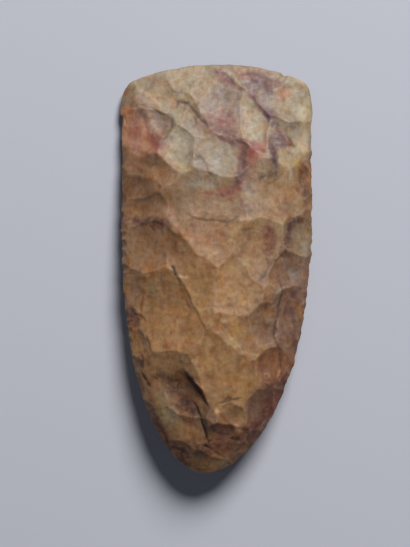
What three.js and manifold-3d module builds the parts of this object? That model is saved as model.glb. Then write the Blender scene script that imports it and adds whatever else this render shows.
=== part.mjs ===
// A flaked stone axe head: one piece of chert, worked to shape on both faces by striking off flakes.
// Millimetres. +Y runs to the cutting edge (the bit), -Y to the narrow butt (the poll), +Z is up.
// The axe lies on its flatter face, with the bit low and the poll a little raised. While it is made, z = 0
// is the level of the edge that runs round it, at the middle of its length.
import * as THREE from "three";
import { mergeVertices } from "three/addons/utils/BufferGeometryUtils.js";
import Module from "manifold-3d";

// Outline
const halfWidth = 35.8;
const bitCrown = 76.7; // from the middle to the bit, on its centre line
const bitRadius = 86; // of the gentle arc of the bit
const bitCentreX = 0.6;
const cornerPower = 20; // how tight the two corners of the bit are
const taperStart = 24; // below this height the flanks draw in
const pollTip = -74.5;
const pollDrift = -4; // the poll leans to one side
const leftFlank = { draw: 2.45, round: 1.8 };
const rightFlank = { draw: 2.1, round: 1.98 };
const rimSpare = 0.4; // stone outside the finished edge, which the retouch takes off

// Cross-section: thickness * (1 - rho ** swell), where rho runs from 0 in the middle to 1 at the edge
const swell = { blade: 2.4, poll: 3.4 };
// Thickness of each face at the bit, in the middle and at the poll, and where it starts to change
const topFace = { bit: 13.5, middle: 14.5, poll: 19, bitFrom: 15, pollFrom: -10 };
const baseFace = { bit: 4.6, middle: 8.2, poll: 16.5, bitFrom: 0, pollFrom: 12 };
const bladeEnd = 75; // thickness stops changing this far from the middle, both ways
const edgeRise = 0.076; // the edge climbs by this share of the length, from the bit to the poll
const restDepth = 0.5; // how much of the belly is missing at the natural flat that the axe lies on

// Flake scars thin out towards the edge, so that they scallop it only a little
const rimFade = { from: 0.75, keeps: 0.2 };
const stepSteepness = 0.16; // a flake that stops short leaves a bank, this share of a bowl's own end

// One flake scar each: centre x, y, direction of the blow in degrees, length, width, depth, and where the
// flake broke off short, as a share of half its length (1 where it feathered out)
const topScars = {
  cornerLeft: [-34, 68, -30, 13, 12, 2.3, 1],
  creamLeft: [-21, 64.5, -38, 32, 16, 1.9, 1],
  bitWedge: [-13.5, 72.5, -90, 18, 14, 1.9, 1],
  bitSecond: [-4.5, 71.5, -105, 19, 14, 1.6, 1],
  bitCentre: [4, 60, -80, 32, 22, 1.6, 1],
  bitCream: [13.5, 56, -72, 28, 13, 2, 1],
  bitMauve: [17, 66.5, -60, 22, 14, 1.8, 1],
  cornerRight: [29.5, 63.5, 170, 26, 21, 2.6, 1],
  greyRight: [31.5, 50, 180, 18, 12, 2.3, 0.7],
  paleRight: [24.5, 47, -62, 24, 13, 2.1, 1],
  pocket: [-21.5, 54, -19, 15, 13, 1.9, 0.8],
  redLeft: [-29.5, 49.5, 10, 23, 20, 2.4, 1],
  creamRound: [-13.5, 45, 60, 18, 16, 1.5, 1],
  veinStrip: [-7.5, 54, -48, 24, 10, 1.2, 1],
  creamWide: [2, 42.5, -25, 28, 20, 1.6, 1],
  brownLeft: [-27, 38, -22, 28, 13, 2, 1],
  darkLeft: [-30.5, 31.5, 5, 24, 14, 2.3, 0.75],
  ochreLeft: [-29.5, 22, 10, 26, 14, 2.3, 1],
  band: [-2.5, 26.5, -84, 23, 38, 1.8, 0.72],
  vee: [-2.5, 15.5, -88, 28, 21, 1.5, 1],
  innerLeft: [-14.5, 6, -52, 27, 13, 1.6, 1],
  tanRight: [19, 29, 175, 32, 24, 2, 1],
  greenRight: [15.5, 7, -110, 28, 20, 1.8, 1],
  edgeUpper: [32.5, 34, 180, 13, 19, 2.6, 1],
  edgeGrey: [31.5, 13, 178, 18, 16, 2, 0.7],
  mauveRight: [27, 0, 175, 21, 15, 2, 1],
  goldColumn: [-7, -6, -88, 28, 16, 1.3, 1],
  thumb: [7.5, -7, -85, 30, 18, 1.6, 1],
  goldLow: [9.5, -23, -40, 25, 18, 1.6, 1],
  tanSmooth: [2.5, -38, -78, 36, 27, 1.6, 1],
  brownMid: [-26.5, 9.5, 78, 21, 24, 2.3, 0.8],
  ovalLeft: [-31, -7.5, -100, 19, 11, 2.4, 1],
  longLeft: [-18, -14.5, 28, 28, 36, 2.4, 0.62],
  edgeRed: [-32.5, -18, 20, 11, 11, 2.5, 0.75],
  edgePale: [-30, -26, 10, 11, 13, 2.3, 1],
  purpleLeft: [-16.5, -42, 45, 27, 29, 2.6, 0.9],
  stepFlake: [-12, -44.2, 36, 20, 24, 4.5, 0.5],
  greenLeft: [-14.5, -55, 19, 26, 27, 2.7, 0.68],
  edgeLow: [-27, -42.5, 15, 11, 14, 2.7, 0.8],
  pollLeft: [-16, -67, 50, 17, 15, 4.1, 1],
  pollGold: [-3, -72, 88, 14, 19, 3.9, 1],
  pollDark: [3.5, -62, 110, 17, 19, 2.7, 1],
  pollRight: [11.5, -68, 135, 16, 15, 4.1, 1],
  facetLow: [5.5, -52, -60, 14, 12, 1.9, 1],
  greyLow: [19.5, -52, 160, 23, 17, 2.5, 1],
  stripeRight: [28.5, -17.5, 178, 20, 26, 2.3, 0.8],
  mauveLow: [16.5, -21, 170, 17, 19, 2, 1],
  orangeLow: [21, -34.5, 165, 17, 15, 1.7, 1],
  notchRight: [26, -43, 175, 9, 10, 2.5, 1],
};

const baseScars = {
  bitLeft: [-21, 63, -70, 28, 24, 2.3, 1],
  bitMiddle: [0, 61, -92, 36, 24, 2, 1],
  bitRight: [21, 62, -112, 30, 24, 2.3, 1],
  leftShoulder: [-28, 43, -8, 30, 22, 2.7, 0.8],
  leftUpper: [-27.5, 26, 6, 30, 20, 2.7, 1],
  leftWaist: [-27.5, 9, -4, 29, 20, 2.8, 0.85],
  leftMiddle: [-26, -8, 12, 28, 20, 2.6, 1],
  leftLower: [-24, -26, 20, 28, 21, 2.8, 1],
  leftFoot: [-19, -44, 30, 26, 22, 3.6, 0.85],
  pollLeft: [-13, -62, 48, 24, 21, 4.4, 1],
  pollMiddle: [-2, -72, 88, 22, 19, 4.6, 1],
  pollRight: [10, -65, 125, 23, 19, 4.4, 1],
  rightShoulder: [27, 44, 188, 29, 21, 2.7, 1],
  rightUpper: [27.5, 28, 176, 30, 19, 2.8, 1],
  rightWaist: [27, 13, 170, 28, 18, 2.7, 0.85],
  rightMiddle: [27, -3, 178, 30, 19, 2.8, 1],
  rightLower: [25, -19, 168, 29, 19, 2.7, 1],
  rightThigh: [22, -35, 160, 27, 20, 2.8, 1],
  rightFoot: [17, -50, 150, 25, 19, 3.6, 1],
  upperMiddle: [-2, 39, -88, 30, 22, 1.8, 1],
  lowerMiddle: [-1, -39, 84, 36, 22, 1.9, 1],
};

// Bites out of the edge: x, y, length, width, depth
const edgeBites = {
  rightNick: [26.6, -43, 6, 5, 2.2],
  rightChip: [21.2, -56, 7, 6, 2.2],
  leftNick: [-34, -17, 6, 6, 1.8],
  bitNick: [24, 70.4, 7, 5, 0.7],
};

// Fine retouch all round the edge, on both faces
const retouch = { spacing: 8.8, length: 10, width: 9.4, depth: 0.9, atBit: 0.25 };

// Facets
const blankSides = 64;
const blankRings = 10;
const facetLength = 7; // along the rim of a flake scar
const fewestSides = 9;
const largeScar = { longerThan: 19, rings: 6 }; // half of the rings on the bowl and half on its lid
const smallScarRings = 4;
const chipSides = 6;
const chipRings = 4;

const clamp = (value) => Math.min(Math.max(value, 0), 1);

function smoothStep(from, to, value) {
  const t = clamp((value - from) / (to - from));
  return t * t * (3 - 2 * t);
}

// A repeatable number from 0 to 1 for each whole number
function scatter(index) {
  const wave = Math.sin(index * 12.9898) * 43758.5453;
  return wave - Math.floor(wave);
}

function isInside(x, y) {
  if (y < pollTip) return false;
  const t = clamp((taperStart - y) / (taperStart - pollTip));
  const midline = pollDrift * t ** 3;
  const flank = x < midline ? leftFlank : rightFlank;
  const width = halfWidth * Math.max(1 - t ** flank.draw, 1e-9) ** (1 / flank.round);
  const bit = bitCrown - (x - bitCentreX) ** 2 / (2 * bitRadius);
  const across = Math.abs(x - midline) / width;
  const along = Math.max(y, 0) / bit;
  return across ** cornerPower + along ** cornerPower < 1;
}

function outlineRadius(angle) {
  let inside = 0;
  let outside = 90;
  for (let halving = 0; halving < 30; halving += 1) {
    const middle = (inside + outside) / 2;
    if (isInside(middle * Math.cos(angle), middle * Math.sin(angle))) inside = middle;
    else outside = middle;
  }
  return inside + rimSpare;
}

const rimShare = (x, y) => Math.hypot(x, y) / outlineRadius(Math.atan2(y, x));

// Height of a smooth face over the edge plane, before any flake is struck from it
function faceHeight(face, x, y) {
  const pollShare = smoothStep(face.pollFrom, -bladeEnd, y);
  const bitShare = smoothStep(face.bitFrom, bladeEnd, y);
  const thickness = face.middle + (face.poll - face.middle) * pollShare + (face.bit - face.middle) * bitShare;
  return thickness * (1 - rimShare(x, y) ** (swell.blade + (swell.poll - swell.blade) * pollShare));
}

function thinning(x, y) {
  return 1 - (1 - rimFade.keeps) * smoothStep(rimFade.from, 1, rimShare(x, y));
}

// Moves every vertex of a closed shape, drops what keeps shared corners apart, and makes a solid of it
function makeSolid(wasm, geometry, place) {
  geometry.deleteAttribute("normal");
  geometry.deleteAttribute("uv");
  const merged = mergeVertices(geometry, 1e-6);
  const positions = merged.attributes.position;
  const corner = new THREE.Vector3();
  for (let i = 0; i < positions.count; i += 1) {
    corner.fromBufferAttribute(positions, i);
    place(corner);
    positions.setXYZ(i, corner.x, corner.y, corner.z);
  }
  const triVerts = Uint32Array.from(merged.index.array);
  return new wasm.Manifold(new wasm.Mesh({ numProp: 3, vertProperties: positions.array, triVerts }));
}

// A sphere opened out over the outline: its upper half is the top face and its lower half the base
function makeBlank(wasm) {
  const sphere = new THREE.SphereGeometry(1, blankSides, blankRings).rotateX(Math.PI / 2);
  return makeSolid(wasm, sphere, (corner) => {
    const fromPole = Math.acos(THREE.MathUtils.clamp(Math.abs(corner.z), 0, 1)) / (Math.PI / 2);
    const angle = Math.atan2(corner.y, corner.x);
    const reach = fromPole * outlineRadius(angle);
    const isTop = corner.z > 0;
    const x = reach * Math.cos(angle);
    const y = reach * Math.sin(angle);
    const height = fromPole > 0.9999 ? 0 : faceHeight(isTop ? topFace : baseFace, x, y);
    corner.set(x, y, (isTop ? height : -height) - edgeRise * y);
  });
}

// The stone that one blow takes off: a shallow bowl below the face, closed by a lid above it.
// side is 1 on the top face and -1 on the base
function makeFlake(wasm, side, scar, sides, rings, fades) {
  const [centreX, centreY, turn, length, width, depth, stop] = scar;
  const overrun = 1.12;
  const lidHeight = 4;
  const heading = THREE.MathUtils.degToRad(turn);
  const face = side > 0 ? topFace : baseFace;
  const sphere = new THREE.SphereGeometry(1, sides, rings).rotateX(Math.PI / 2);
  if (side < 0) sphere.rotateX(Math.PI);
  return makeSolid(wasm, sphere, (corner) => {
    const isBowl = corner.z * side < 1e-6;
    const fromPole = Math.acos(THREE.MathUtils.clamp(Math.abs(corner.z), 0, 1)) / (Math.PI / 2);
    const around = Math.atan2(corner.y, corner.x);
    const u = overrun * fromPole * Math.cos(around);
    const v = overrun * fromPole * Math.sin(around);
    const along = ((u > stop ? stop + (u - stop) * stepSteepness : u) * length) / 2;
    const across = (v * width) / 2;
    const x = centreX + along * Math.cos(heading) - across * Math.sin(heading);
    const y = centreY + along * Math.sin(heading) + across * Math.cos(heading);
    const bowl = depth * (1 - u * u - v * v) * (fades ? thinning(x, y) : 1);
    const height = faceHeight(face, x, y) + (isBowl ? -bowl : lidHeight);
    corner.set(x, y, side * height - edgeRise * y);
  });
}

function strikeFlakes(wasm, stone, side, scars) {
  return Object.values(scars).reduce((rest, scar) => {
    const [, , , length, width] = scar;
    const sides = Math.max(fewestSides, Math.round((Math.PI * (length + width)) / 2 / facetLength));
    const rings = length > largeScar.longerThan ? largeScar.rings : smallScarRings;
    return rest.subtract(makeFlake(wasm, side, scar, sides, rings, true));
  }, stone);
}

const rimPoint = (angle) => {
  const reach = outlineRadius(angle);
  return new THREE.Vector2(reach * Math.cos(angle), reach * Math.sin(angle));
};

// Direction, in degrees, from a point of the edge straight into the stone
function inwardTurn(angle) {
  const step = 0.02;
  const along = rimPoint(angle + step).sub(rimPoint(angle - step));
  return THREE.MathUtils.radToDeg(Math.atan2(along.x, -along.y));
}

function chipEdge(wasm, stone, side) {
  const turnSteps = 1440;
  let chipped = stone;
  let travelled = 0;
  let next = side > 0 ? 0 : retouch.spacing / 2;
  let last = rimPoint(0);
  let count = side > 0 ? 0 : 500;
  for (let i = 1; i < turnSteps; i += 1) {
    const angle = (i / turnSteps) * 2 * Math.PI;
    const here = rimPoint(angle);
    travelled += here.distanceTo(last);
    last = here;
    if (travelled < next) continue;
    count += 1;
    const size = 0.75 + 0.5 * scatter(count);
    const wear = here.y > 55 ? retouch.atBit : 1;
    const chip = [here.x, here.y, inwardTurn(angle), retouch.length * size, retouch.width * size];
    chip.push(retouch.depth * size * wear, 1);
    chipped = chipped.subtract(makeFlake(wasm, side, chip, chipSides, chipRings, false));
    next = travelled + retouch.spacing * (0.7 + 0.6 * scatter(count + 0.5));
  }
  return chipped;
}

function biteEdge(wasm, stone) {
  return Object.values(edgeBites).reduce((rest, [x, y, length, width, depth]) => {
    const bite = [x, y, inwardTurn(Math.atan2(y, x)), length, width, depth, 1];
    return rest.subtract(makeFlake(wasm, 1, bite, chipSides, chipRings, false));
  }, stone);
}

// The natural flat under the belly that the axe lies on
function flattenBelly(wasm, stone) {
  const block = new THREE.BoxGeometry(2 * halfWidth, 2 * bitCrown, 20);
  const top = -(baseFace.middle - restDepth);
  return stone.subtract(makeSolid(wasm, block, (corner) => corner.add(new THREE.Vector3(0, 0, top - 10))));
}

function makeAxe(wasm) {
  let stone = makeBlank(wasm);
  stone = strikeFlakes(wasm, stone, 1, topScars);
  stone = strikeFlakes(wasm, stone, -1, baseScars);
  stone = chipEdge(wasm, stone, 1);
  stone = chipEdge(wasm, stone, -1);
  stone = biteEdge(wasm, stone);
  return flattenBelly(wasm, stone);
}

function toGeometry(solid) {
  const { vertProperties, triVerts } = solid.getMesh();
  const geometry = new THREE.BufferGeometry();
  geometry.setAttribute("position", new THREE.BufferAttribute(vertProperties, 3));
  geometry.setIndex(new THREE.BufferAttribute(triVerts, 1));
  return geometry;
}

const wasm = await Module();
wasm.setup();

const chert = new THREE.MeshStandardMaterial({ color: 0xa07f5e, roughness: 0.62, metalness: 0 });
const axeHead = new THREE.Mesh(toGeometry(makeAxe(wasm)), chert);
axeHead.name = "axe_head";

// The part stands with the middle of its footprint at the origin and its lowest point on z = 0
const extent = new THREE.Box3().setFromObject(axeHead);
const middle = extent.getCenter(new THREE.Vector3());
axeHead.position.set(-middle.x, -middle.y, -extent.min.z);

const axe = new THREE.Group();
axe.add(axeHead);

export default axe;
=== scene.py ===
import math

import bmesh
import bpy
import numpy as np
from mathutils import Matrix, Vector


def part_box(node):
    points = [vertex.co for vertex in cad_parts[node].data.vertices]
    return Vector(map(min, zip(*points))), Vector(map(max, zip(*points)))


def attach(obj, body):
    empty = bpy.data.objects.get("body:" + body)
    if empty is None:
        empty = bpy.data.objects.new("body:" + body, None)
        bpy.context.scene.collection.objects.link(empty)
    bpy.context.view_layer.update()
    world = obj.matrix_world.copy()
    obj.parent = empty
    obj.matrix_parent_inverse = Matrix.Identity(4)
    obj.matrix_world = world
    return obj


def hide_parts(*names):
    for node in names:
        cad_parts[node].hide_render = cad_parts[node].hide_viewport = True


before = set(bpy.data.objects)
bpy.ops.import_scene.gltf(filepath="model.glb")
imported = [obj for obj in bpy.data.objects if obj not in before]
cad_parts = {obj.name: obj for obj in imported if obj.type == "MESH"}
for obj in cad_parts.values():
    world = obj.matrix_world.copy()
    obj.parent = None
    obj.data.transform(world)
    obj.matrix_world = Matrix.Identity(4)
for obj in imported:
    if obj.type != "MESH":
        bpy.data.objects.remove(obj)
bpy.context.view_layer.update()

mm = 0.001
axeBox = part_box("axe_head")
print("frame loaded, axe head", [round(float(h - l) / mm, 1) for l, h in zip(*axeBox)], "mm")


# The blade in millimetres: +Y to the bit, -Y to the poll, z = 0 on the edge between the two faces
blade = {
    "halfWidth": 35.8,
    "bitCrown": 76.7,
    "bitRadius": 86,
    "bitCentreX": 0.6,
    "cornerPower": 20,
    "taperStart": 24,  # the flanks draw in below here
    "pollTip": -74.5,
    "pollDrift": -4,  # the poll leans to one side
    "leftFlank": (2.45, 1.8),
    "rightFlank": (2.1, 1.98),
    "rimSpare": 0.4,
    "swell": (2.4, 3.4),  # how full the section is, in the blade and at the poll
    "topThickness": (13.5, 14.5, 19),  # at the bit, the middle and the poll
    "topChanges": (15, -10),  # from here to the bit, and from here to the poll
    "baseThickness": (4.6, 8.2, 16.5),
    "baseChanges": (0, 12),
    "bladeEnd": 75,  # thickness stops changing this far from the middle, both ways
    "edgeRise": 0.076,  # the edge climbs from the bit to the poll
    "restDepth": 0.5,  # the natural flat that it lies on
    "rimFade": (0.75, 0.2),  # scars thin out from here, and keep this much at the edge
    "stepSteepness": (0.16, 0.45),  # of the bank where a deep flake broke off short, and a shallow one
    "deepFlake": 4,
    "skinGap": 0.35,  # how far the next flake is taken to be where the old skin is left
    "ridgeGap": 0.1,  # two flakes this close in depth meet in a ridge
    "bankShade": 0.12,  # how dark the banks are painted: painted shade in the recess, and soil in it
    "gridAcross": 190,
    "gridAlong": 400,
}

# Each scar: x, y, direction of the blow, length, width, depth, where it stopped short, and its stone
topScars = {
    "cornerLeft": (-34, 68, -30, 13, 12, 2.3, 1, "dullCream"),
    "creamLeft": (-21, 64.5, -38, 32, 16, 1.9, 1, "cream"),
    "bitWedge": (-13.5, 72.5, -90, 18, 14, 1.9, 1, "paleCream"),
    "bitSecond": (-4.5, 71.5, -105, 19, 14, 1.6, 1, "cream"),
    "bitCentre": (4, 60, -80, 32, 22, 1.6, 1, "pinkGrey"),
    "bitCream": (13.5, 56, -72, 28, 13, 2, 1, "paleCream"),
    "bitMauve": (17, 66.5, -60, 22, 14, 1.8, 1, "pinkGrey"),
    "cornerRight": (29.5, 63.5, 170, 26, 21, 2.6, 1, "dullCream"),
    "greyRight": (31.5, 50, 180, 18, 12, 2.3, 0.7, "greyCream"),
    "paleRight": (24.5, 47, -62, 24, 13, 2.1, 1, "cream"),
    "pocket": (-21.5, 54, -19, 15, 13, 1.9, 0.8, "mauveGrey"),
    "redLeft": (-29.5, 49.5, 10, 23, 20, 2.4, 1, "dullPink"),
    "creamRound": (-13.5, 45, 60, 18, 16, 1.5, 1, "paleCream"),
    "veinStrip": (-7.5, 54, -48, 24, 10, 1.2, 1, "cream"),
    "creamWide": (2, 42.5, -25, 28, 20, 1.6, 1, "greyCream"),
    "brownLeft": (-27, 38, -22, 28, 13, 2, 1, "brown"),
    "darkLeft": (-30.5, 31.5, 5, 24, 14, 2.3, 0.75, "darkBrown"),
    "ochreLeft": (-29.5, 22, 10, 26, 14, 2.3, 1, "brown"),
    "band": (-2.5, 26.5, -84, 23, 38, 1.8, 0.72, "umberTan"),
    "vee": (-2.5, 15.5, -88, 28, 21, 1.5, 1, "tan"),
    "innerLeft": (-14.5, 6, -52, 27, 13, 1.6, 1, "warmBrown"),
    "tanRight": (19, 29, 175, 32, 24, 2, 1, "sand"),
    "greenRight": (15.5, 7, -110, 28, 20, 1.8, 1, "sand"),
    "edgeUpper": (32.5, 34, 180, 13, 19, 2.6, 1, "warmBrown"),
    "edgeGrey": (31.5, 13, 178, 18, 16, 2, 0.7, "greenGrey"),
    "mauveRight": (27, 0, 175, 21, 15, 2, 1, "mauve"),
    "goldColumn": (-7, -6, -88, 28, 16, 1.3, 1, "gold"),
    "thumb": (7.5, -7, -85, 30, 18, 1.6, 1, "goldBrown"),
    "goldLow": (9.5, -23, -40, 25, 18, 1.6, 1, "gold"),
    "tanSmooth": (2.5, -38, -78, 36, 27, 1.6, 1, "gold"),
    "brownMid": (-26.5, 9.5, 78, 21, 24, 2.3, 0.8, "brown"),
    "ovalLeft": (-31, -7.5, -100, 19, 11, 2.4, 1, "brown"),
    "longLeft": (-18, -14.5, 28, 28, 36, 2.4, 0.62, "goldBrown"),
    "edgeRed": (-32.5, -18, 20, 11, 11, 2.5, 0.75, "russet"),
    "edgePale": (-30, -26, 10, 11, 13, 2.3, 1, "goldBrown"),
    "purpleLeft": (-16.5, -42, 45, 27, 29, 2.6, 0.9, "goldBrown"),
    "stepFlake": (-12, -44.2, 36, 20, 24, 4.5, 0.5, "warmBrown"),
    "greenLeft": (-14.5, -55, 19, 26, 27, 2.7, 0.68, "tan"),
    "edgeLow": (-27, -42.5, 15, 11, 14, 2.7, 0.8, "brown"),
    "pollLeft": (-16, -67, 50, 17, 15, 4.1, 1, "brown"),
    "pollGold": (-3, -72, 88, 14, 19, 3.9, 1, "goldBrown"),
    "pollDark": (3.5, -62, 110, 17, 19, 2.7, 1, "purpleBrown"),
    "pollRight": (11.5, -68, 135, 16, 15, 4.1, 1, "darkBrown"),
    "facetLow": (5.5, -52, -60, 14, 12, 1.9, 1, "goldBrown"),
    "greyLow": (19.5, -52, 160, 23, 17, 2.5, 1, "mauve"),
    "stripeRight": (28.5, -17.5, 178, 20, 26, 2.3, 0.8, "mauve"),
    "mauveLow": (16.5, -21, 170, 17, 19, 2, 1, "mauve"),
    "orangeLow": (21, -34.5, 165, 17, 15, 1.7, 1, "cinnamon"),
    "notchRight": (26, -43, 175, 9, 10, 2.5, 1, "redBrown"),
}

baseScars = {
    "bitLeft": (-21, 63, -70, 28, 24, 2.3, 1, "cream"),
    "bitMiddle": (0, 61, -92, 36, 24, 2, 1, "greyCream"),
    "bitRight": (21, 62, -112, 30, 24, 2.3, 1, "paleCream"),
    "leftShoulder": (-28, 43, -8, 30, 22, 2.7, 0.8, "pinkGrey"),
    "leftUpper": (-27.5, 26, 6, 30, 20, 2.7, 1, "sand"),
    "leftWaist": (-27.5, 9, -4, 29, 20, 2.8, 0.85, "brown"),
    "leftMiddle": (-26, -8, 12, 28, 20, 2.6, 1, "tan"),
    "leftLower": (-24, -26, 20, 28, 21, 2.8, 1, "goldBrown"),
    "leftFoot": (-19, -44, 30, 26, 22, 3.6, 0.85, "brown"),
    "pollLeft": (-13, -62, 48, 24, 21, 4.4, 1, "purpleBrown"),
    "pollMiddle": (-2, -72, 88, 22, 19, 4.6, 1, "goldBrown"),
    "pollRight": (10, -65, 125, 23, 19, 4.4, 1, "darkBrown"),
    "rightShoulder": (27, 44, 188, 29, 21, 2.7, 1, "cream"),
    "rightUpper": (27.5, 28, 176, 30, 19, 2.8, 1, "sand"),
    "rightWaist": (27, 13, 170, 28, 18, 2.7, 0.85, "mauve"),
    "rightMiddle": (27, -3, 178, 30, 19, 2.8, 1, "tan"),
    "rightLower": (25, -19, 168, 29, 19, 2.7, 1, "brown"),
    "rightThigh": (22, -35, 160, 27, 20, 2.8, 1, "orange"),
    "rightFoot": (17, -50, 150, 25, 19, 3.6, 1, "greenGrey"),
    "upperMiddle": (-2, 39, -88, 30, 22, 1.8, 1, "sand"),
    "lowerMiddle": (-1, -39, 84, 36, 22, 1.9, 1, "gold"),
}

# Bites out of the edge: x, y, length, width, depth
edgeBites = {
    "rightNick": (26.6, -43, 6, 5, 2.2),
    "rightChip": (21.2, -56, 7, 6, 2.2),
    "leftNick": (-34, -17, 6, 6, 1.8),
    "bitNick": (24, 70.4, 7, 5, 0.7),
}

# Small flakes pressed off all round the edge, and finer nibbling between them that only shows close to
retouch = {
    "flakes": {"spacing": 8.8, "length": 10, "width": 9.4, "depth": 0.9, "atBit": 0.25, "sizes": (0.75, 1.25),
               "gaps": (0.7, 1.3), "swing": 0, "starts": (0, 4.4), "seeds": (0, 500)},
    "nibbles": {"spacing": 3, "length": 5.2, "width": 3.4, "depth": 0.8, "atBit": 0.3, "sizes": (0.5, 1.5),
                "gaps": (0.6, 1.5), "swing": 40, "starts": (1, 2), "seeds": (1000, 2000)},
}

# Finer relief: its height in mm and the size of one lump, facet or ripple, and the sizes of its patches
relief = {
    "wander": (1.5, 7),  # how far the edges of scars stray from true ovals
    "ripples": (0.035, 3.4),
    "hackles": (0.05, 1.5),  # streaks that run the way a flake was struck
    "facets": (0.2, 6.5),
    "smallFacets": (0.09, 2.6),
    "undulation": (0.16, 7),
    "roughness": (0.06, 1.5),
    "lineWander": (0.45, 2.6),  # how far cracks and veins stray from their routes
    "rippleBends": 14,
    "ripplePatches": 9,
    "facetPatches": 12,
}

# Ledges: a route, which hand the low ground lies on (1 is right), the drop, and how far it reaches
ledges = {
    "underBand": ([(-12, 21.5), (-8, 19), (-4, 18.2), (3, 17.8), (6, 18.4), (8, 19.8)], 1, 0.14, 3),
    "greenStep": ([(-9, -46.5), (-7.3, -49), (-6, -52), (-4.5, -57), (-3.4, -61), (-3, -63)], 1, 0.15, 2),
    "rightStep": ([(23, -4.5), (24, -7), (22.5, -13), (21.5, -20), (21, -23), (23, -28), (24, -38)],
                  -1, 0.5, 2.5),
    "rimStep": ([(-24.5, -52), (-22, -55.5), (-18.5, -60), (-17.5, -65), (-13, -69), (-7, -72.2)],
                1, 0.15, 2),
    "pocketStep": ([(-33, 61.6), (-27, 60.8), (-23, 59.5), (-20, 57.3), (-16.3, 57.3), (-16.4, 52)],
                   1, 0.12, 3.5),
}
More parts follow.
